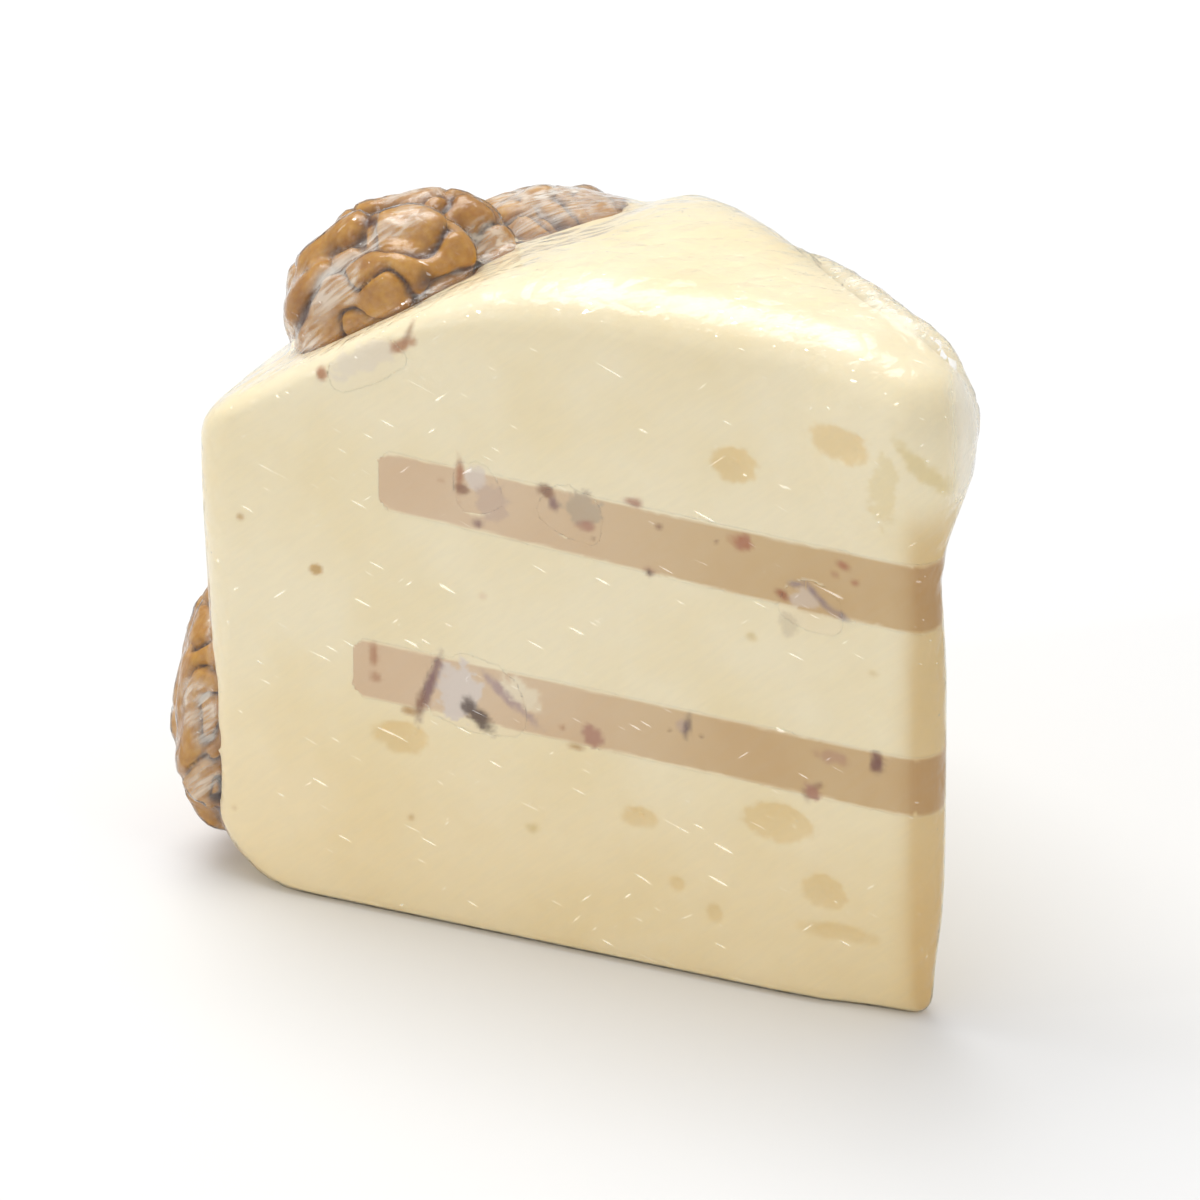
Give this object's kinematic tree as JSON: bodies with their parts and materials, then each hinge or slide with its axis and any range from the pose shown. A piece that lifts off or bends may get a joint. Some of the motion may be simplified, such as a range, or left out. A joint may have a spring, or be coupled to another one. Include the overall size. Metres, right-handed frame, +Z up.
{
  "type": "film-wrapped wedge of layered walnut cheese",
  "caption": "Wedge of white cream cheese with tan nut layers, walnut halves on its rim and shoulder, wrapped tight in clear film.",
  "frame": {"origin": "middle of the footprint's box, on the surface that the wedge stands on", "axes": "+Z up, +X towards the tip of the wedge along the front cut, -Y out of the front cut, the rim at -X"},
  "size_m": [0.0934, 0.057, 0.0774],
  "materials": {
    "white_cheese": "smooth pale cream cheese, slightly glossy under film",
    "tan_cheese": "soft tan nut cheese with a fine grain",
    "walnut_skin": "folded golden brown walnut skin",
    "walnut_flesh": "pale cut walnut with brown skin at its edge",
    "clear_film": "thin clear stretch film with folds and crinkles"
  },
  "bodies": {
    "root": {"white_cheese": "white_cheese", "tan_layer_lower": "tan_cheese", "tan_layer_upper": "tan_cheese", "walnut_shoulder_front": "walnut_skin", "walnut_shoulder_back": "walnut_skin", "walnut_rim_front": "walnut_skin", "walnut_rim_back": "walnut_skin", "walnut_in_lower_layer": "walnut_flesh", "walnut_in_upper_layer": "walnut_flesh", "walnut_in_upper_rim": "walnut_flesh", "walnut_in_upper_tip": "walnut_flesh", "walnut_in_shoulder": "walnut_flesh", "walnut_in_lower_back": "walnut_flesh", "walnut_in_upper_back": "walnut_flesh", "film_gather": "clear_film"}
  },
  "joints": []
}
